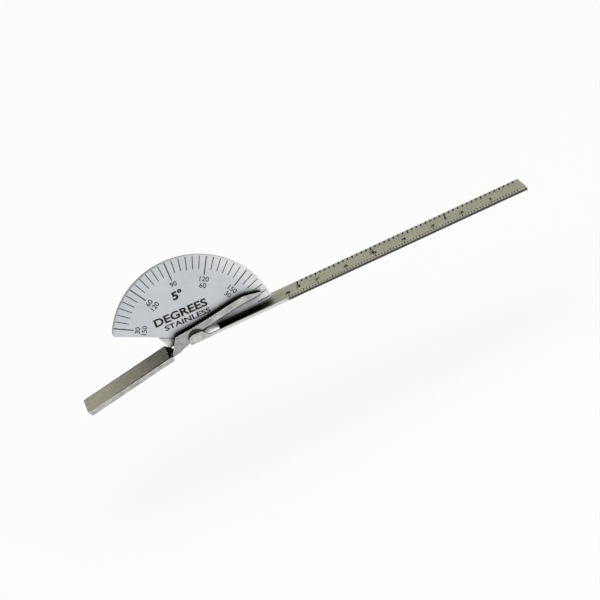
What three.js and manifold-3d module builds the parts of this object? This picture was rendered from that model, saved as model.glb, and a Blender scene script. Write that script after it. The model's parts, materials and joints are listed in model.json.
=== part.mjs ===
// Finger goniometer, six inch pattern: a long ruler blade carries an upright protractor,
// and a short arm swings on one rivet at the protractor's centre, with a pointer on it.
// Millimetres. X runs along the ruler towards its tip, Y away from the scale side, Z up.
// Depths are given as "front", the distance towards the reader from the scale face (-Y).
// Everything is first placed round the pivot; the whole is then set on its bottom centre.

import * as THREE from 'three';
import { mergeVertices } from 'three/addons/utils/BufferGeometryUtils.js';
import Module from 'manifold-3d';

const wasm = await Module();
wasm.setup();

// ---- driving dimensions ----

const sheet = 0.8;                 // upright stampings
const bladeThickness = 0.9;        // both blades
const bladeTop = -0.37;            // top face of the blades below the pivot
const bladeBottom = bladeTop - bladeThickness;
const slip = 0.06;                 // running clearance between turning faces
const fit = 0.1;                   // radial clearance round pins

const rulerTipNear = 113.9;        // the tip is cut slightly aslant
const rulerTipFar = 111.9;
const rulerFront = 3.3;            // near edge, in front of the scale face
const rulerBack = 7.96;            // far edge, behind it
const rulerStep = 7.6;             // from here to the tip the blade has its full width
const stripStart = -8.6;           // a narrower strip of it runs back to here
const stripFront = -3.7;           // near edge of that strip
const earBack = rulerFront - sheet;

const bracketLeft = -9.2;
const bracketRight = 7.8;
const bracketTop = 6.4;
const bracketGap = 0.02;           // behind the plate, and above the blade
const bracketSeat = bladeTop + bracketGap;
const bracketBack = -sheet - bracketGap - sheet;
const footDepth = 7.2;             // far edge of the bracket's foot
const footRivetPlaces = [[-5.9, -5.9], [4.9, -5.9]];
const footRivetRadius = 0.8;
const footRivetHead = 1.4;

const scaleRadius = 26.7;
const scaleLean = -1.04;           // degrees the scale is turned on the ruler
const scaleEdge = 1.0;             // lower right edge above the centre line
const scaleEnd = 154.3;            // degrees, direction of the lower left edge
const scaleEndDrop = 0.8;          // that edge lies this far below its radius

const pinRadius = 0.75;
const holeRadius = pinRadius + fit;
const hubBottom = bladeBottom + 0.07;
const hubWidth = 2.1;              // half the width of the clear space round the pin
const pointerBack = 1.2;           // gap between pointer and scale face
const pointerFront = pointerBack + sheet;
const pointerBend = 16;            // from here the tip leans in to the scale
const pointerEnd = 24.5;
const pointerTipBack = 0.25;       // gap between the tip's end and the scale face
const rivetHeadRadius = 1.42;      // sunk flush in the ear
const springSeat = -2.02;
const springThickness = 0.3;

const restAngle = 9.6;             // degrees of bend as the tool lies
const armEnd = -41.7;
const armStart = -8.9;
const lipStart = -9.8;
const armFront = 3.2;
const armBack = 10.1;
const armTop = -0.4;
const lipHeight = 1.5;             // the near edge is turned down
const neckEnd = -6.2;              // the neck joins blade and pointer flange

// ---- shapes ----

const turnedSegments = 40;
const rivetSegments = 28;
const through = 6;                 // reaches past every sheet

// A closed outline from corners [x, y, radius], each rounded by an arc.
function outline(corners) {
  const shape = new THREE.Shape();
  corners.forEach(([x, y, radius = 0], i) => {
    const here = new THREE.Vector2(x, y);
    const before = new THREE.Vector2(...corners.at(i - 1).slice(0, 2));
    const after = new THREE.Vector2(...corners[(i + 1) % corners.length].slice(0, 2));
    const back = before.sub(here).normalize();
    const on = after.sub(here).normalize();
    const half = Math.acos(THREE.MathUtils.clamp(back.dot(on), -1, 1)) / 2;
    const inset = radius / Math.tan(half);
    const start = here.clone().addScaledVector(back, inset);
    const end = here.clone().addScaledVector(on, inset);
    if (i === 0) shape.moveTo(start.x, start.y);
    else shape.lineTo(start.x, start.y);
    if (radius > 0) {
      const middle = back.clone().add(on).normalize();
      const centre = here.clone().addScaledVector(middle, radius / Math.sin(half));
      const turnsLeft = back.cross(on) < 0;
      const from = Math.atan2(start.y - centre.y, start.x - centre.x);
      const to = Math.atan2(end.y - centre.y, end.x - centre.x);
      shape.absarc(centre.x, centre.y, radius, from, to, !turnsLeft);
    }
  });
  return shape;
}

// A long arc round the pivot, in stretches so that it comes out fine enough.
function addArc(shape, radius, from, to, stretches) {
  const step = (to - from) / stretches;
  for (let i = 0; i < stretches; i += 1) {
    shape.absarc(0, 0, radius, from + i * step, from + (i + 1) * step, false);
  }
}

// Upright sheet: the outline is in X and Z, and the sheet runs from front to front + thickness.
function upright(shape, front, thickness) {
  const geometry = new THREE.ExtrudeGeometry(shape, {
    depth: thickness, bevelEnabled: false, curveSegments: 3,
  });
  return geometry.rotateX(Math.PI / 2).translate(0, -front, 0);
}

// Flat sheet: the outline is in X and Y, and the sheet runs up from its bottom.
function flat(shape, bottom, thickness) {
  const geometry = new THREE.ExtrudeGeometry(shape, {
    depth: thickness, bevelEnabled: false, curveSegments: 3,
  });
  return geometry.translate(0, 0, bottom);
}

// A turned piece: profile [radius, front] round the pivot's axis.
function turned(profile) {
  const points = profile.map(([radius, front]) => new THREE.Vector2(radius, front));
  return new THREE.LatheGeometry(points, turnedSegments).rotateX(Math.PI);
}

function box(xMin, xMax, frontMin, frontMax, zMin, zMax) {
  const geometry = new THREE.BoxGeometry(xMax - xMin, frontMax - frontMin, zMax - zMin);
  const y = -(frontMin + frontMax) / 2;
  return geometry.translate((xMin + xMax) / 2, y, (zMin + zMax) / 2);
}

function solid(geometry) {
  const bare = geometry.clone();
  bare.deleteAttribute('normal');
  bare.deleteAttribute('uv');
  const merged = mergeVertices(bare, 1e-5);
  return new wasm.Manifold(new wasm.Mesh({
    numProp: 3,
    vertProperties: new Float32Array(merged.attributes.position.array),
    triVerts: new Uint32Array(merged.index.array),
  }));
}

function shell(manifold) {
  const mesh = manifold.getMesh();
  const geometry = new THREE.BufferGeometry();
  geometry.setAttribute('position', new THREE.BufferAttribute(mesh.vertProperties, 3));
  geometry.setIndex(new THREE.BufferAttribute(mesh.triVerts, 1));
  return geometry;
}

function piece(name, geometry, colour, roughness, metalness = 1) {
  const material = new THREE.MeshStandardMaterial({ color: colour, roughness, metalness });
  geometry.computeVertexNormals();
  const mesh = new THREE.Mesh(geometry, material);
  mesh.name = name;
  return mesh;
}

function pinHole() {
  return solid(turned([[0, -through], [holeRadius, -through], [holeRadius, through], [0, through]]));
}

// ---- long arm: the ruler blade with its front ear ----

function rulerBlade() {
  const plan = outline([
    [stripStart, rulerBack, 0.4], [stripStart, -stripFront, 0.4],
    [rulerStep, -stripFront], [rulerStep, -rulerFront],
    [rulerTipNear, -rulerFront, 0.4], [rulerTipFar, rulerBack, 0.4],
  ]);
  const ear = outline([
    [-2.7, bladeBottom, 0.5], [rulerStep + 0.6, bladeBottom], [rulerStep + 0.6, bladeTop],
    [rulerStep - 0.4, bladeTop], [3.9, -0.3, 2.2], [2.1, 1.66, 1.2], [-2.7, 1.66, 1.9],
  ]);
  return solid(flat(plan, bladeBottom, bladeThickness))
    .add(solid(upright(ear, earBack, sheet)))
    .subtract(solid(turned([
      [0, 0], [holeRadius, 0], [holeRadius, earBack + 0.3],
      [rivetHeadRadius + 0.13, rulerFront + 0.1], [rivetHeadRadius + 0.13, through], [0, through],
    ])))
    .subtract(footRivetHoles());
}

// ---- protractor plate and the angle bracket behind it ----

function footRivetHoles() {
  const holes = footRivetPlaces.map(([x, front]) => {
    const radius = footRivetRadius + fit;
    const hole = new THREE.CylinderGeometry(radius, radius, through, rivetSegments);
    return solid(hole.rotateX(Math.PI / 2).translate(x, -front, 0));
  });
  return holes[0].add(holes[1]);
}

function protractorPlate() {
  const end = THREE.MathUtils.degToRad(scaleEnd);
  const along = new THREE.Vector2(Math.cos(end), Math.sin(end));
  const drop = new THREE.Vector2(-Math.sin(end), Math.cos(end)).multiplyScalar(scaleEndDrop);
  const onEnd = (distance) => along.clone().multiplyScalar(distance).add(drop);
  const corner = 1.1;
  const first = Math.asin((scaleEdge + corner) / scaleRadius);
  const last = end - corner / scaleRadius;
  const shape = new THREE.Shape();
  shape.moveTo(2.4, scaleEdge);
  shape.lineTo(scaleRadius - corner, scaleEdge);
  shape.quadraticCurveTo(scaleRadius, scaleEdge,
    scaleRadius * Math.cos(first), scaleRadius * Math.sin(first));
  addArc(shape, scaleRadius, first, last, 14);
  const tip = onEnd(scaleRadius);
  const leave = onEnd(scaleRadius - corner);
  shape.quadraticCurveTo(tip.x, tip.y, leave.x, leave.y);
  const meet = onEnd(3.4);
  shape.lineTo(meet.x, meet.y);
  shape.quadraticCurveTo(-2.4, 0.2, -2.2, hubBottom + 0.5);
  shape.quadraticCurveTo(-2.1, hubBottom, -1.6, hubBottom);
  shape.lineTo(1.6, hubBottom);
  shape.quadraticCurveTo(2.4, hubBottom, 2.4, scaleEdge);
  const geometry = upright(shape, -sheet, sheet);
  geometry.rotateY(THREE.MathUtils.degToRad(-scaleLean));
  return solid(geometry).subtract(pinHole());
}

function plateBracket() {
  const leaf = outline([
    [bracketLeft, bracketSeat, 0.2], [-hubWidth, bracketSeat], [-hubWidth, hubBottom, 0.5],
    [4.6, hubBottom, 0.4], [5.2, -0.85, 0.3], [rulerStep - 0.1, -0.85],
    [rulerStep - 0.1, bracketSeat], [bracketRight, bracketSeat],
    [bracketRight, bracketTop, 1.5], [-9.6, bracketTop, 1.0], [-11.1, 4.1, 0.5],
  ]);
  const footFront = -bracketBack - 0.2;
  const foot = outline([
    [stripStart, footDepth, 0.8], [stripStart, footFront],
    [bracketRight, footFront], [bracketRight, footDepth, 0.8],
  ]);
  return solid(upright(leaf, bracketBack, sheet))
    .add(solid(flat(foot, bracketSeat, sheet)))
    .subtract(solid(box(-hubWidth, hubWidth, -4.3, bracketBack, -2, 2.6)))
    .subtract(pinHole())
    .subtract(footRivetHoles());
}

function footRivet([x, front]) {
  const seat = bracketSeat + sheet + 0.02;
  const profile = [
    [0, bladeBottom], [footRivetRadius, bladeBottom], [footRivetRadius, seat],
    [footRivetHead, seat], [footRivetHead - 0.1, seat + 0.26], [0.75, seat + 0.48],
    [0, seat + 0.54],
  ].map(([radius, z]) => new THREE.Vector2(radius, z));
  return new THREE.LatheGeometry(profile, rivetSegments).rotateX(Math.PI / 2).translate(x, -front, 0);
}

// ---- short arm: blade, turned-down lip, neck, and pointer flange, one stamping ----

function shortArm() {
  const plan = outline([
    [armEnd, armBack, 0.6], [armEnd, -armFront, 2.0], [lipStart, -armFront, 0.5],
    [lipStart, -pointerBack + 0.2], [armStart, 0.4], [armStart, 6.0], [-10.3, 8.2],
    [-10.9, armBack, 0.4],
  ]);
  const blade = solid(flat(plan, armTop - lipHeight, lipHeight))
    .subtract(solid(box(armEnd - 1, armStart + 1, -armBack - 1, armFront - bladeThickness,
      armTop - lipHeight - 1, armTop - bladeThickness)));
  const flangeMiddle = pointerBack + sheet / 2;
  const neckPlan = outline([
    [armStart - 0.5, 3.4], [armStart - 0.5, -flangeMiddle],
    [neckEnd - 0.4, -flangeMiddle], [neckEnd - 0.4, 0.2, 0.8], [neckEnd - 2.2, 3.4, 0.8],
  ]);
  const neck = solid(flat(neckPlan, armTop - bladeThickness, bladeThickness));
  const flange = outline([
    [-10.0, armTop - bladeThickness + 0.05, 0.2], [-6.4, -0.95, 6], [-2.6, -0.4],
    [-1.7, -0.62, 0.4], [-1.0, -1.5, 0.8], [1.0, -1.5, 0.9], [2.3, 1.2, 1.2],
    [pointerBend, 1.05], [pointerBend, 2.9], [6, 3.1, 20], [0.5, 3.35, 8], [-5.6, 3.9, 0.5],
  ]);
  const tip = outline([
    [pointerBend, 1.05], [24.2, -0.05, 0.2], [pointerEnd, 0.3, 0.15], [24.1, 0.62, 0.3],
    [19.3, 2.6, 4], [pointerBend, 2.9],
  ]);
  const tipGeometry = upright(tip, pointerBack, sheet);
  const lean = (pointerBack - pointerTipBack) / (pointerEnd - pointerBend);
  const place = tipGeometry.attributes.position;
  for (let i = 0; i < place.count; i += 1) {
    const pastBend = Math.max(0, place.getX(i) - pointerBend);
    place.setY(i, place.getY(i) + lean * pastBend);
  }
  return blade.add(neck)
    .add(solid(upright(flange, pointerBack, sheet)))
    .add(solid(tipGeometry))
    .subtract(pinHole());
}

// ---- pivot stack ----

function pivotRivet() {
  const rearSeat = springSeat - 0.2;
  return turned([
    [0, rearSeat - 0.75], [0.6, rearSeat - 0.68], [1.05, rearSeat - 0.4], [1.15, rearSeat],
    [pinRadius, rearSeat], [pinRadius, earBack + 0.28], [rivetHeadRadius, rulerFront - 0.02],
    [0, rulerFront],
  ]);
}

function spacerWasher() {
  const outer = 1.5;
  const broken = 0.08;
  const back = slip;
  const front = pointerBack - slip;
  return turned([
    [holeRadius, back], [outer - broken, back], [outer, back + broken],
    [outer, front - broken], [outer - broken, front], [holeRadius, front], [holeRadius, back],
  ]);
}

// A dished spring washer, bowed towards its middle.
function springWasher() {
  const bow = 0.12;
  const radius = 1.2;
  const front = springSeat + springThickness;
  return turned([
    [holeRadius, springSeat - bow], [radius, springSeat], [radius, front],
    [holeRadius, front - bow], [holeRadius, springSeat - bow],
  ]);
}

// A fibre washer with a flat, so that it can't turn with the pointer.
function frictionWasher() {
  const radius = 2.75;
  const flatAngle = Math.asin(-hubBottom / radius);
  const shape = new THREE.Shape();
  addArc(shape, radius, -flatAngle, Math.PI + flatAngle, 6);
  shape.closePath();
  const thickness = earBack - pointerFront - slip - 0.02;
  return solid(upright(shape, pointerFront + slip, thickness)).subtract(pinHole());
}

// ---- assembly ----

const steel = 0xb9bab6;
const satin = 0xa9a890;
const bright = 0xd2d3d2;
const fibre = 0x15161a;

const longArm = new THREE.Group();
longArm.add(
  piece('ruler_blade', shell(rulerBlade()), satin, 0.38),
  piece('protractor_plate', shell(protractorPlate()), bright, 0.3),
  piece('plate_bracket', shell(plateBracket()), steel, 0.35),
  piece('pivot_rivet', pivotRivet(), bright, 0.25),
  piece('friction_washer', shell(frictionWasher()), fibre, 0.7, 0),
  piece('spacer_washer', spacerWasher(), steel, 0.35),
  piece('spring_washer', springWasher(), steel, 0.3),
);
footRivetPlaces.forEach((place, i) => {
  longArm.add(piece(`foot_rivet_${i + 1}`, footRivet(place), steel, 0.3));
});

const swing = new THREE.Group();
swing.rotation.y = THREE.MathUtils.degToRad(-restAngle);
swing.add(piece('short_arm', shell(shortArm()), satin, 0.38));

const goniometer = new THREE.Group();
goniometer.add(longArm, swing);
goniometer.updateMatrixWorld(true);

const bounds = new THREE.Box3().setFromObject(goniometer, true);
const middle = bounds.getCenter(new THREE.Vector3());
goniometer.position.set(-middle.x, -middle.y, -bounds.min.z);

export default goniometer;
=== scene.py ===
import json
import math

import bpy
from mathutils import Matrix, Vector


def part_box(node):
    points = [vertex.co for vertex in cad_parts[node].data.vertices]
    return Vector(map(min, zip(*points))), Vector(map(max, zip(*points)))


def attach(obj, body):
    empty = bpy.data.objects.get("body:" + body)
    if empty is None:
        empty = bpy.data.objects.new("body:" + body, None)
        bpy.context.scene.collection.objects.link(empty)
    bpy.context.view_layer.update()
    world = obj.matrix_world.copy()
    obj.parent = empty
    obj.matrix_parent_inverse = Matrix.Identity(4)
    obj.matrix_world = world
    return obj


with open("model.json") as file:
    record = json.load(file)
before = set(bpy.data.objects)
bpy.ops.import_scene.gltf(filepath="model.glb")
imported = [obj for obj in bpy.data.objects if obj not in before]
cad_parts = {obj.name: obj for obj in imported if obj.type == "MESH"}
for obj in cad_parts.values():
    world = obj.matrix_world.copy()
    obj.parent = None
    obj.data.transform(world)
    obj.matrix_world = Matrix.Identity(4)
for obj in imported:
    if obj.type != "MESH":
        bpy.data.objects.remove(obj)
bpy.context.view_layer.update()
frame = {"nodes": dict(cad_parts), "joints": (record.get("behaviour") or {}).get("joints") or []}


# ---------------------------------------------------------------------------
# The ruler blade. A long strip of stainless steel ground along its length to a
# satin finish, stamped with a rounded ear that is turned up in front of the
# pivot. A painted dark reflection blackens its graduated near edge, and painted
# shade darkens the strip by the plate.
# ---------------------------------------------------------------------------

mm = 0.001
pivot = Vector(frame["joints"][0]["pos_m"])


def stretched_noise(tree, size, detail):
    """Noise whose grains measure size = (x, y, z) millimetres."""
    where = tree.nodes.new("ShaderNodeTexCoord")
    scaled = tree.nodes.new("ShaderNodeMapping")
    scaled.inputs["Scale"].default_value = [1 / (s * mm) for s in size]
    noise = tree.nodes.new("ShaderNodeTexNoise")
    noise.inputs["Scale"].default_value = 1.0
    noise.inputs["Detail"].default_value = detail
    tree.links.new(where.outputs["Object"], scaled.inputs["Vector"])
    tree.links.new(scaled.outputs["Vector"], noise.inputs["Vector"])
    return noise.outputs["Fac"]


def ranged(tree, value, start, end, low=0.0, high=1.0):
    """Runs from low to high while the value runs from start to end."""
    node = tree.nodes.new("ShaderNodeMapRange")
    node.inputs["From Min"].default_value = start
    node.inputs["From Max"].default_value = end
    node.inputs["To Min"].default_value = low
    node.inputs["To Max"].default_value = high
    tree.links.new(value, node.inputs["Value"])
    return node.outputs["Result"]


def spread(tree, noise, low, high):
    """Noise keeps mostly to 0.3 .. 0.7, and this brings that out to low .. high."""
    return ranged(tree, noise, 0.3, 0.7, low, high)


def patches(tree, size, low=0.0, high=1.0, detail=3.0):
    """Patches of one size, running from low to high."""
    return spread(tree, stretched_noise(tree, size, detail), low, high)


def along(tree, source, axis, start, end):
    """Runs from 0 to 1 between two places on one axis of a position or a normal."""
    split = tree.nodes.new("ShaderNodeSeparateXYZ")
    tree.links.new(source, split.inputs["Vector"])
    return ranged(tree, split.outputs[axis], start, end)


def along_tool(tree, where, start, end):
    """Runs from 0 to 1 between two places, in millimetres to the right of the pivot."""
    return along(tree, where, "X", pivot.x + start * mm, pivot.x + end * mm)


def facing_reader(tree, normal):
    return along(tree, normal, "Y", -0.6, -0.9)


def facing_up(tree, normal):
    return along(tree, normal, "Z", 0.6, 0.9)


def together(tree, *factors):
    """The product of several factors."""
    product = factors[0]
    for factor in factors[1:]:
        node = tree.nodes.new("ShaderNodeMath")
        node.operation = "MULTIPLY"
        for socket, value in zip(node.inputs, (product, factor)):
            if isinstance(value, float):
                socket.default_value = value
            else:
                tree.links.new(value, socket)
        product = node.outputs["Value"]
    return product


def blend_colours(tree, factor, first, second):
    node = tree.nodes.new("ShaderNodeMix")
    node.data_type = "RGBA"
    for name, value in (("A", first), ("B", second)):
        socket = next(s for s in node.inputs if s.name == name and s.type == "RGBA")
        if isinstance(value, tuple):
            socket.default_value = (*value, 1)
        else:
            tree.links.new(value, socket)
    share = next(s for s in node.inputs if s.name == "Factor" and s.type == "VALUE")
    if isinstance(factor, float):
        share.default_value = factor
    else:
        tree.links.new(factor, share)
    return next(s for s in node.outputs if s.type == "RGBA")


rubbed_and_highlight_width = 0.22                      # millimetres of edge brightened by wear and painted highlight
# bright colour of worn edges, partly painted highlight
rubbed_and_highlight_bright = (0.97, 0.97, 0.96)
# painted shade, near black, for gaps and corners
painted_gap_shade = (0.012, 0.011, 0.010)
grain_depth = 0.006                      # millimetres


def rubbed_edges(tree, wear_and_highlight):
    """Up to the given amount on an edge, where the rounded normal leaves the plain one, and 0 on a
    flat: wear and painted highlight.
    """
    flat = tree.nodes.new("ShaderNodeNewGeometry")
    rounded = tree.nodes.new("ShaderNodeBevel")
    rounded.samples = 6
    rounded.inputs["Radius"].default_value = rubbed_and_highlight_width * mm
    agree = tree.nodes.new("ShaderNodeVectorMath")
    agree.operation = "DOT_PRODUCT"
    tree.links.new(rounded.outputs["Normal"], agree.inputs[0])
    tree.links.new(flat.outputs["Normal"], agree.inputs[1])
    return ranged(tree, agree.outputs["Value"], 0.985, 0.90, high=wear_and_highlight)


def open_air(tree, gap, reach, alone):
    """From 0 in a corner to 1 in the open, looking reach millimetres round about."""
    corner = tree.nodes.new("ShaderNodeAmbientOcclusion")
    corner.samples = 8
    corner.only_local = alone
    corner.inputs["Distance"].default_value = reach * mm
    return ranged(tree, corner.outputs["AO"], *gap)


def ground_steel(name, bright, dull, grain, rough=(0.26, 0.38), gap=(0.3, 0.8), reach=3.0,
                 alone=False, wear_and_highlight=0.35, painted_shade_and_tones=None):
    """Stainless steel ground along one direction, with painted shade in its gaps, and edges bright
    from wear and painted highlight.

    One scratch measures grain millimetres, and the streaks run between the two rough values.
    Painted shade darkens it where the surroundings within reach millimetres are less open than gap
    says, counting other pieces unless alone. How far the edges brighten, as wear and painted
    highlight, is given per piece.
    """
    material = bpy.data.materials.new(name)
    material.use_nodes = True
    tree = material.node_tree
    shader = tree.nodes["Principled BSDF"]
    shader.inputs["Metallic"].default_value = 1.0
    cloud = patches(tree, (7, 7, 7), detail=4.0)
    streak = patches(tree, [g * 5 for g in grain])
    colour = blend_colours(tree, 0.5, blend_colours(tree, cloud, bright, dull),
                           blend_colours(tree, streak, dull, bright))
    # painted shade and other tones, as each piece lists them
    if painted_shade_and_tones:
        where = tree.nodes.new("ShaderNodeTexCoord").outputs["Object"]
        normal = tree.nodes.new("ShaderNodeNewGeometry").outputs["True Normal"]
        for factor, added_colour in painted_shade_and_tones(tree, where, normal):
            colour = blend_colours(tree, factor, colour, added_colour)
    # worn edges brightened, partly with painted highlight
    colour = blend_colours(tree, rubbed_edges(tree, wear_and_highlight), colour, rubbed_and_highlight_bright)
    # painted shade: the colour goes dark in gaps and corners
    colour = blend_colours(tree, open_air(tree, gap, reach, alone), painted_gap_shade, colour)
    tree.links.new(colour, shader.inputs["Base Color"])
    tree.links.new(colour, shader.inputs["Specular Tint"])      # painted shade and dark marks don't shine at a low angle
    tree.links.new(spread(tree, streak, *rough), shader.inputs["Roughness"])

    bump = tree.nodes.new("ShaderNodeBump")
    bump.inputs["Strength"].default_value = 0.5
    bump.inputs["Distance"].default_value = grain_depth * mm
    tree.links.new(stretched_noise(tree, grain, 2.0), bump.inputs["Height"])
    tree.links.new(bump.outputs["Normal"], shader.inputs["Normal"])
    return material


def dress(node, material, edge, segments=2):
    """Breaks a piece's sharp edges, as tumbling does, and gives it its material."""
    piece = frame["nodes"][node]
    weld = piece.modifiers.new("weld", "WELD")
    weld.merge_threshold = 0.002 * mm
    bevel = piece.modifiers.new("edges", "BEVEL")
    bevel.width = edge * mm
    bevel.segments = segments
    bevel.limit_method = "ANGLE"
    bevel.angle_limit = math.radians(32)
    normals = piece.modifiers.new("normals", "WEIGHTED_NORMAL")
    normals.weight = 80
    piece.data.materials.clear()
    piece.data.materials.append(material)


# near black, for painted shade and painted dark reflection
painted_shade_black = (0.03, 0.028, 0.024)
# a darker grey, mottled onto the faces toward the reader
front_mottle_grey = (0.22, 0.22, 0.22)
graduated_from = 30.6                    # millimetres right of the pivot


def ruler_stains(tree, where, normal):
    """Painted shade by the plate, painted dark reflection on the graduated edge, grey mottle on the
    ear.
    """
    in_front = along(tree, where, "Y", pivot.y - 3.1 * mm, pivot.y - 1.5 * mm)
    behind = along(tree, where, "Y", pivot.y + 5.0 * mm, pivot.y + 2.5 * mm)
    by_plate = along_tool(tree, where, 27, 22)
    graduated = along_tool(tree, where, graduated_from, graduated_from + 1)
    on_ear = along_tool(tree, where, 7, 2)
    near_face = facing_reader(tree, normal)
    mottle = patches(tree, (1.4, 1.4, 1.4), 0.2, 0.65)
    return [
        # painted shade on the top face by the plate
        (together(tree, facing_up(tree, normal), in_front, behind, by_plate, 0.9), painted_shade_black),
        # painted dark reflection on the graduated near edge
        (together(tree, graduated, near_face, 0.93), painted_shade_black),
        (together(tree, on_ear, near_face, mottle), front_mottle_grey),
    ]


ruler_steel = ground_steel(
    "ruler_satin", bright=(0.70, 0.70, 0.695), dull=(0.59, 0.59, 0.58), grain=(3.0, 0.07, 0.07),
    gap=(0.6, 0.95), reach=5.0, wear_and_highlight=0.8, painted_shade_and_tones=ruler_stains
)
dress("ruler_blade", ruler_steel, edge=0.09)


# ---------------------------------------------------------------------------
# The degree plate. A sector of thinner stainless sheet with a fine satin face,
# standing upright behind the pivot. Its back is spot welded to the bracket.
# ---------------------------------------------------------------------------

plate_low, plate_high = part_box("protractor_plate")
scale_radius = (plate_high.z - pivot.z) / mm
rim_width = 0.55
# painted shade for the left rim
painted_rim_shade = (0.16, 0.16, 0.16)
# a paler tone for patches in the outer band on the right
right_band_pale = (0.88, 0.88, 0.88)


def plate_wear(tree, where, normal):
    """Paler patches in the outer band on the right, and painted shade on the left rim."""
    offset = tree.nodes.new("ShaderNodeVectorMath")
    offset.operation = "SUBTRACT"
    offset.inputs[1].default_value = (pivot.x, plate_low.y, pivot.z)
    tree.links.new(where, offset.inputs[0])
    from_centre = tree.nodes.new("ShaderNodeVectorMath")
    from_centre.operation = "LENGTH"
    tree.links.new(offset.outputs["Vector"], from_centre.inputs[0])
    radius = from_centre.outputs["Value"]
    rim = ranged(tree, radius, (scale_radius - rim_width) * mm, (scale_radius - 0.2) * mm)
    outer_band = ranged(tree, radius, 0.78 * scale_radius * mm, 0.9 * scale_radius * mm)
    right_side = along_tool(tree, where, 8, 24)
    left_side = along_tool(tree, where, 8, -6)
    right_band_patches = patches(tree, (3.5, 3.5, 3.5), 0.3, 0.9)
    return [
        # paler patches in the outer band on the right
        (together(tree, outer_band, right_side, right_band_patches), right_band_pale),
        # painted shade on the left rim
        (together(tree, rim, left_side, 0.6), painted_rim_shade),
    ]


plate_steel = ground_steel(
    "plate_satin", bright=(0.63, 0.65, 0.69), dull=(0.52, 0.54, 0.575), grain=(0.5, 0.3, 0.05),
    rough=(0.24, 0.36), gap=(0.72, 0.94), painted_shade_and_tones=plate_wear
)
dress("protractor_plate", plate_steel, edge=0.12, segments=3)


# ---------------------------------------------------------------------------
# The bracket behind the plate. An angle bent from mill-finish stainless sheet:
# its leaf is spot welded to the plate and its foot lies flat on the ruler.
# ---------------------------------------------------------------------------

bracket_steel = ground_steel(
    "bracket_mill", bright=(0.74, 0.74, 0.74), dull=(0.57, 0.57, 0.57), grain=(2.0, 0.1, 0.1),
    rough=(0.3, 0.42), gap=(0.6, 0.9)
)
dress("plate_bracket", bracket_steel, edge=0.12)


# ---------------------------------------------------------------------------
# The short arm. One stamping of the ruler's steel: a flat blade with its near
# edge turned down, and a flange turned up from it that ends in the pointer.
# ---------------------------------------------------------------------------

arm_low, arm_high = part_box("short_arm")


def arm_stains(tree, where, normal):
    """Painted shade on the top near the pivot, fold, far edge and bend, and grey mottle on the front.
    """
    front = facing_reader(tree, normal)
    top = facing_up(tree, normal)
    mottle = patches(tree, (2.2, 1.4, 1.4), 0.15, 0.75)
    flange = together(tree, along_tool(tree, where, -12, -9), along_tool(tree, where, 8, 2))
    towards_pivot = along_tool(tree, where, -34, -12)
    inner_half = along_tool(tree, where, -36, -20)
    fold = along(tree, where, "Y", arm_low.y + 1.15 * mm, arm_low.y + 0.75 * mm)
    far_edge = along(tree, where, "Y", arm_high.y - 0.75 * mm, arm_high.y - 0.45 * mm)
    bend = along_tool(tree, where, -10.9, -10.4)
    return [
        # a darker grey mottle on the faces toward the reader
        (together(tree, front, mottle), front_mottle_grey),
        (together(tree, front, flange, 0.35), front_mottle_grey),
        # painted shade on the top face: towards the pivot, along the fold, on the far edge and at the
        # bend
        (together(tree, top, towards_pivot, 0.55), painted_shade_black),
        (together(tree, top, fold, inner_half, 0.9), painted_shade_black),
        (together(tree, top, far_edge, 0.75), painted_shade_black),
        (together(tree, top, bend, 0.95), painted_shade_black),
    ]


arm_steel = ground_steel(
    "arm_satin", bright=(0.70, 0.70, 0.695), dull=(0.56, 0.56, 0.55), grain=(3.0, 0.07, 0.07),
    gap=(0.5, 0.9), alone=True, wear_and_highlight=0.9, painted_shade_and_tones=arm_stains
)
dress("short_arm", arm_steel, edge=0.1)


# ---------------------------------------------------------------------------
# Rivets and steel washers, all turned stainless. The pivot rivet carries the
# spacer and the dished spring washer, and is formed over behind them. Two
# smaller rivets fasten the bracket's foot to the ruler.
# ---------------------------------------------------------------------------

rivet_steel = ground_steel(
    "rivet_polished", bright=(0.62, 0.62, 0.61), dull=(0.46, 0.46, 0.45), grain=(0.3, 0.3, 0.3),
    rough=(0.2, 0.3)
)
for node in ("pivot_rivet", "spring_washer", "spacer_washer", "foot_rivet_1", "foot_rivet_2"):
    dress(node, rivet_steel, edge=0.04)


# ---------------------------------------------------------------------------
# The friction washer. A disc of black vulcanised fibre, punched from sheet with
# a flat on it, and nipped between the ear and the pointer to hold a reading. Its
# black is also painted shade for the dark gap above the ear.
# ---------------------------------------------------------------------------

fibre = bpy.data.materials.new("black_fibre_and_painted_shade")
fibre.use_nodes = True
fibre_tree = fibre.node_tree
fibre_shader = fibre_tree.nodes["Principled BSDF"]
fibre_shader.inputs["Roughness"].default_value = 0.75
# the washer's black, which is also painted shade for the gap above the ear
fibre_black_and_painted_shade = blend_colours(fibre_tree, patches(fibre_tree, (0.15, 0.15, 0.15), detail=4.0),
                           (0.012, 0.012, 0.014), (0.035, 0.034, 0.036))
fibre_tree.links.new(fibre_black_and_painted_shade, fibre_shader.inputs["Base Color"])
dress("friction_washer", fibre, edge=0.04)


# ---------------------------------------------------------------------------
# The marks on the degree plate. Strokes every five degrees, figures every
# thirty and two words, etched a hair deep into the steel and filled black.
# ---------------------------------------------------------------------------

ink = bpy.data.materials.new("etched_black")
ink.use_nodes = True
ink_tree = ink.node_tree
ink_shader = ink_tree.nodes["Principled BSDF"]
ink_shader.inputs["Roughness"].default_value = 0.7
ink_shader.inputs["Specular IOR Level"].default_value = 0.12
ink_tone = blend_colours(ink_tree, patches(ink_tree, (0.4, 0.4, 0.4), detail=4.0),
                         (0.010, 0.009, 0.008), (0.040, 0.036, 0.033))
ink_tree.links.new(ink_tone, ink_shader.inputs["Base Color"])

film = 0.012             # millimetres of fill, half of it below the surface
capital_share = 0.7      # of the typeface's size


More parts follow.
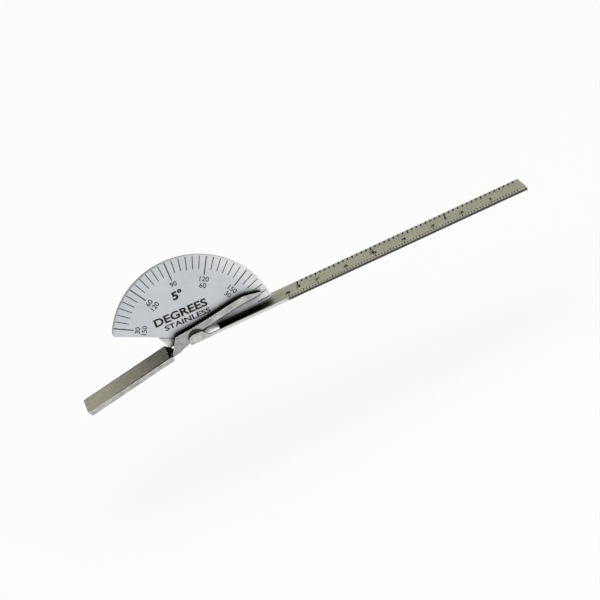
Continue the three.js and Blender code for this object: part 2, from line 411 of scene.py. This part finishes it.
class Marks:
    """Bars and figures on one flat face, gathered into one mesh."""

    def __init__(self, face):
        self.face = face          # matrix from face millimetres to the frame
        self.points = []
        self.faces = []

    def bar(self, start, end, width):
        start, end = Vector(start), Vector(end)
        direction = (end - start).normalized()
        side = Vector((-direction.y, direction.x)) * width / 2
        corners = [start - side, end - side, end + side, start + side]
        first = len(self.points)
        for height in (-film / 2, film / 2):
            self.points += [self.face @ Vector((c.x, c.y, height)) for c in corners]
        walls = [(i, (i + 1) % 4, (i + 1) % 4 + 4, i + 4) for i in range(4)]
        for quad in [(3, 2, 1, 0), (4, 5, 6, 7), *walls]:
            self.faces.append(tuple(first + i for i in quad))

    def figure(self, text, at, height, turn=0.0, weight=0.03, width=None):
        """Text centred on a point. The weight thickens it, and the width squeezes it to fit."""
        curve = bpy.data.curves.new("figure", "FONT")
        curve.body = text
        curve.size = height / capital_share
        curve.align_x = "CENTER"
        curve.align_y = "CENTER"
        curve.offset = weight
        curve.extrude = film / 2
        curve.resolution_u = 3
        holder = bpy.data.objects.new("figure", curve)
        bpy.context.scene.collection.objects.link(holder)
        bpy.context.view_layer.update()
        drawn = holder.evaluated_get(bpy.context.evaluated_depsgraph_get())
        mesh = bpy.data.meshes.new_from_object(drawn)
        across = [v.co.x for v in mesh.vertices]
        upright = [v.co.y for v in mesh.vertices]
        middle = Vector((0, -(min(upright) + max(upright)) / 2, 0))
        squeeze = width / (max(across) - min(across)) if width else 1
        place = (Matrix.Translation(Vector((*at, 0))) @ Matrix.Rotation(turn, 4, "Z")
                 @ Matrix.Diagonal((squeeze, 1, 1, 1)))
        first = len(self.points)
        self.points += [self.face @ (place @ (v.co + middle)) for v in mesh.vertices]
        self.faces += [tuple(first + i for i in p.vertices) for p in mesh.polygons]
        bpy.data.objects.remove(holder)
        bpy.data.curves.remove(curve)
        bpy.data.meshes.remove(mesh)

    def finish(self, name, body):
        mesh = bpy.data.meshes.new(name)
        mesh.from_pydata([tuple(p) for p in self.points], [], self.faces)
        mesh.materials.append(ink)
        piece = bpy.data.objects.new(name, mesh)
        bpy.context.scene.collection.objects.link(piece)
        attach(piece, body)


# Millimetres on the plate's face: x to the right and y up, as the reader sees them. The whole
# scale was etched a degree out of level.
scale_lean = math.radians(-1.04)
scale_face = (
    Matrix.Translation(Vector((pivot.x, plate_low.y, pivot.z)))
    @ Matrix.Rotation(-scale_lean, 4, "Y")
    @ Matrix(((mm, 0, 0, 0), (0, 0, -mm, 0), (0, mm, 0, 0), (0, 0, 0, 1)))
)

stroke_every, figure_every, scale_end = 5, 30, 150           # degrees
long_stroke, short_stroke = 0.75, 0.82   # inner ends, in scale radii
stroke_end = 0.985
long_width, short_width = 0.34, 0.26
outer_ring, inner_ring = 0.70, 0.62      # the two rows of figures, in scale radii
figure_height = 1.6


def on_scale(radii, degrees):
    angle = math.radians(degrees)
    return Vector((math.cos(angle), math.sin(angle))) * radii * scale_radius


scale_marks = Marks(scale_face)
for degrees in range(stroke_every, scale_end + 1, stroke_every):
    is_long = degrees % figure_every == 0
    scale_marks.bar(on_scale(long_stroke if is_long else short_stroke, degrees),
                    on_scale(stroke_end, degrees), long_width if is_long else short_width)
for degrees in range(figure_every, scale_end + 1, figure_every):
    turn = math.radians(degrees - 90)
    rising, falling = str(degrees), str(180 - degrees)
    scale_marks.figure(falling, on_scale(outer_ring, degrees), figure_height, turn)
    if rising != falling:
        scale_marks.figure(rising, on_scale(inner_ring, degrees), figure_height, turn)
scale_marks.figure("DEGREES", at=(-1.7, 9.0), height=2.5, weight=0.11, width=17.9)
scale_marks.figure("STAINLESS", at=(-0.4, 6.15), height=1.6, weight=0.06, width=15.5)
scale_marks.figure("5\u00b0", at=(-0.2, 15.0), height=2.5, weight=0.16, width=3.6)
scale_marks.finish("scale_marks", "long_arm")


# ---------------------------------------------------------------------------
# The marks on the ruler. Millimetres along the near edge and sixteenths of an
# inch along the far one, both counted from near the tip and filled black.
# ---------------------------------------------------------------------------

blade_thickness = 0.9
ruler_low, ruler_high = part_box("ruler_blade")
ruler_width = (ruler_high.y - ruler_low.y) / mm
# Millimetres on the ruler's face: x from the pivot and y from the near edge.
ruler_face = (
    Matrix.Translation(Vector((pivot.x, ruler_low.y, ruler_low.z + blade_thickness * mm)))
    @ Matrix.Diagonal((mm, mm, mm, 1))
)

ruler_zero = 111.7                       # from the pivot
sixteenth = 25.4 / 16
millimetre_strokes, sixteenth_strokes = 80, 48
stroke_inset = 0.1                       # from either edge
near_lengths = ((10, 2.6), (5, 2.1), (1, 1.5))               # one in so many, and its length
far_lengths = ((16, 3.6), (8, 3.0), (4, 2.6), (1, 2.2))


def stroke_length(count, lengths):
    return next(length for every, length in lengths if count % every == 0)


ruler_marks = Marks(ruler_face)
for count in range(1, millimetre_strokes + 1):
    x = ruler_zero - count
    ruler_marks.bar((x, stroke_inset), (x, stroke_length(count, near_lengths)), width=0.32)
    if count % 10 == 0:
        ruler_marks.figure(str(count // 10), at=(x, 4.6), height=2.2, weight=0.14)
for count in range(1, sixteenth_strokes + 1):
    x = ruler_zero - count * sixteenth
    ruler_marks.bar((x, ruler_width - stroke_inset),
                    (x, ruler_width - stroke_length(count, far_lengths)), width=0.5)
    if count % 16 == 0:
        ruler_marks.figure(str(count // 16), at=(x, ruler_width - 5.2), height=2.3, weight=0.16)
ruler_marks.finish("ruler_marks", "long_arm")


# ---------------------------------------------------------------------------
# The studio. A sheet of pale paper below the short arm's swing, one large soft
# light overhead, olive walls whose colour the steel picks up, and a parallel
# view of the scale side.
# ---------------------------------------------------------------------------

arm_swing = pivot.x - arm_low.x
floor_level = pivot.z - 1.02 * arm_swing
bpy.ops.mesh.primitive_plane_add(size=12, location=(0, 0, floor_level))
floor = bpy.context.object
floor.name = "floor"
paper = bpy.data.materials.new("pale_paper")
paper.use_nodes = True
paper_shader = paper.node_tree.nodes["Principled BSDF"]
paper_shader.inputs["Roughness"].default_value = 0.9
paper_shader.inputs["Base Color"].default_value = (0.55, 0.55, 0.57, 1)
paper_shader.inputs["Emission Color"].default_value = (0.97, 0.97, 1.0, 1)
paper_shader.inputs["Emission Strength"].default_value = 0.46
floor.data.materials.append(paper)

below_floor = (0.97, 0.97, 0.97, 1)
olive_wall = (0.52, 0.51, 0.368, 1)
ceiling = (0.86, 0.86, 0.86, 1)
horizon = 0.5            # halfway from straight down to straight up
wall_top = 0.74
ceiling_from = 0.93

room = bpy.data.worlds.new("studio")
bpy.context.scene.world = room
room.use_nodes = True
room_tree = room.node_tree
direction = room_tree.nodes.new("ShaderNodeTexCoord").outputs["Generated"]
height = along(room_tree, direction, "Z", -1.0, 1.0)
shades = room_tree.nodes.new("ShaderNodeValToRGB")
lowest, next_up = shades.color_ramp.elements
lowest.position, lowest.color = horizon - 0.01, below_floor
next_up.position, next_up.color = horizon, olive_wall
for position, colour in ((wall_top, olive_wall), (ceiling_from, ceiling)):
    shades.color_ramp.elements.new(position).color = colour
room_tree.links.new(height, shades.inputs["Fac"])
room_tree.links.new(shades.outputs["Color"], room_tree.nodes["Background"].inputs["Color"])

lamp = bpy.data.lights.new("overhead", "AREA")
lamp.shape = "RECTANGLE"
lamp.size, lamp.size_y = 3.2, 3.0
lamp.energy = 15
overhead = bpy.data.objects.new("overhead", lamp)
overhead.location = (0.1, -0.4, 1.5)
overhead.rotation_euler = (-overhead.location).to_track_quat("-Z", "Y").to_euler()
bpy.context.scene.collection.objects.link(overhead)

# The view's own axes, and its centre as a place right of and above the pivot.
right = Vector((0.9071, -0.1160, -0.4049))
up = Vector((0.4205, 0.3067, 0.8539))
towards_viewer = right.cross(up)
view_width = 188.26      # millimetres
view_distance = 1.6
aim = pivot + (32.45 * right + 11.14 * up) * mm
view = bpy.data.cameras.new("camera")
view.type = "ORTHO"
view.ortho_scale = view_width * mm
camera = bpy.data.objects.new("camera", view)
facing = Matrix((right, up, towards_viewer)).transposed()
camera.matrix_world = Matrix.Translation(aim + towards_viewer * view_distance) @ facing.to_4x4()
bpy.context.scene.collection.objects.link(camera)
bpy.context.scene.camera = camera
bpy.context.scene.view_settings.view_transform = "Standard"
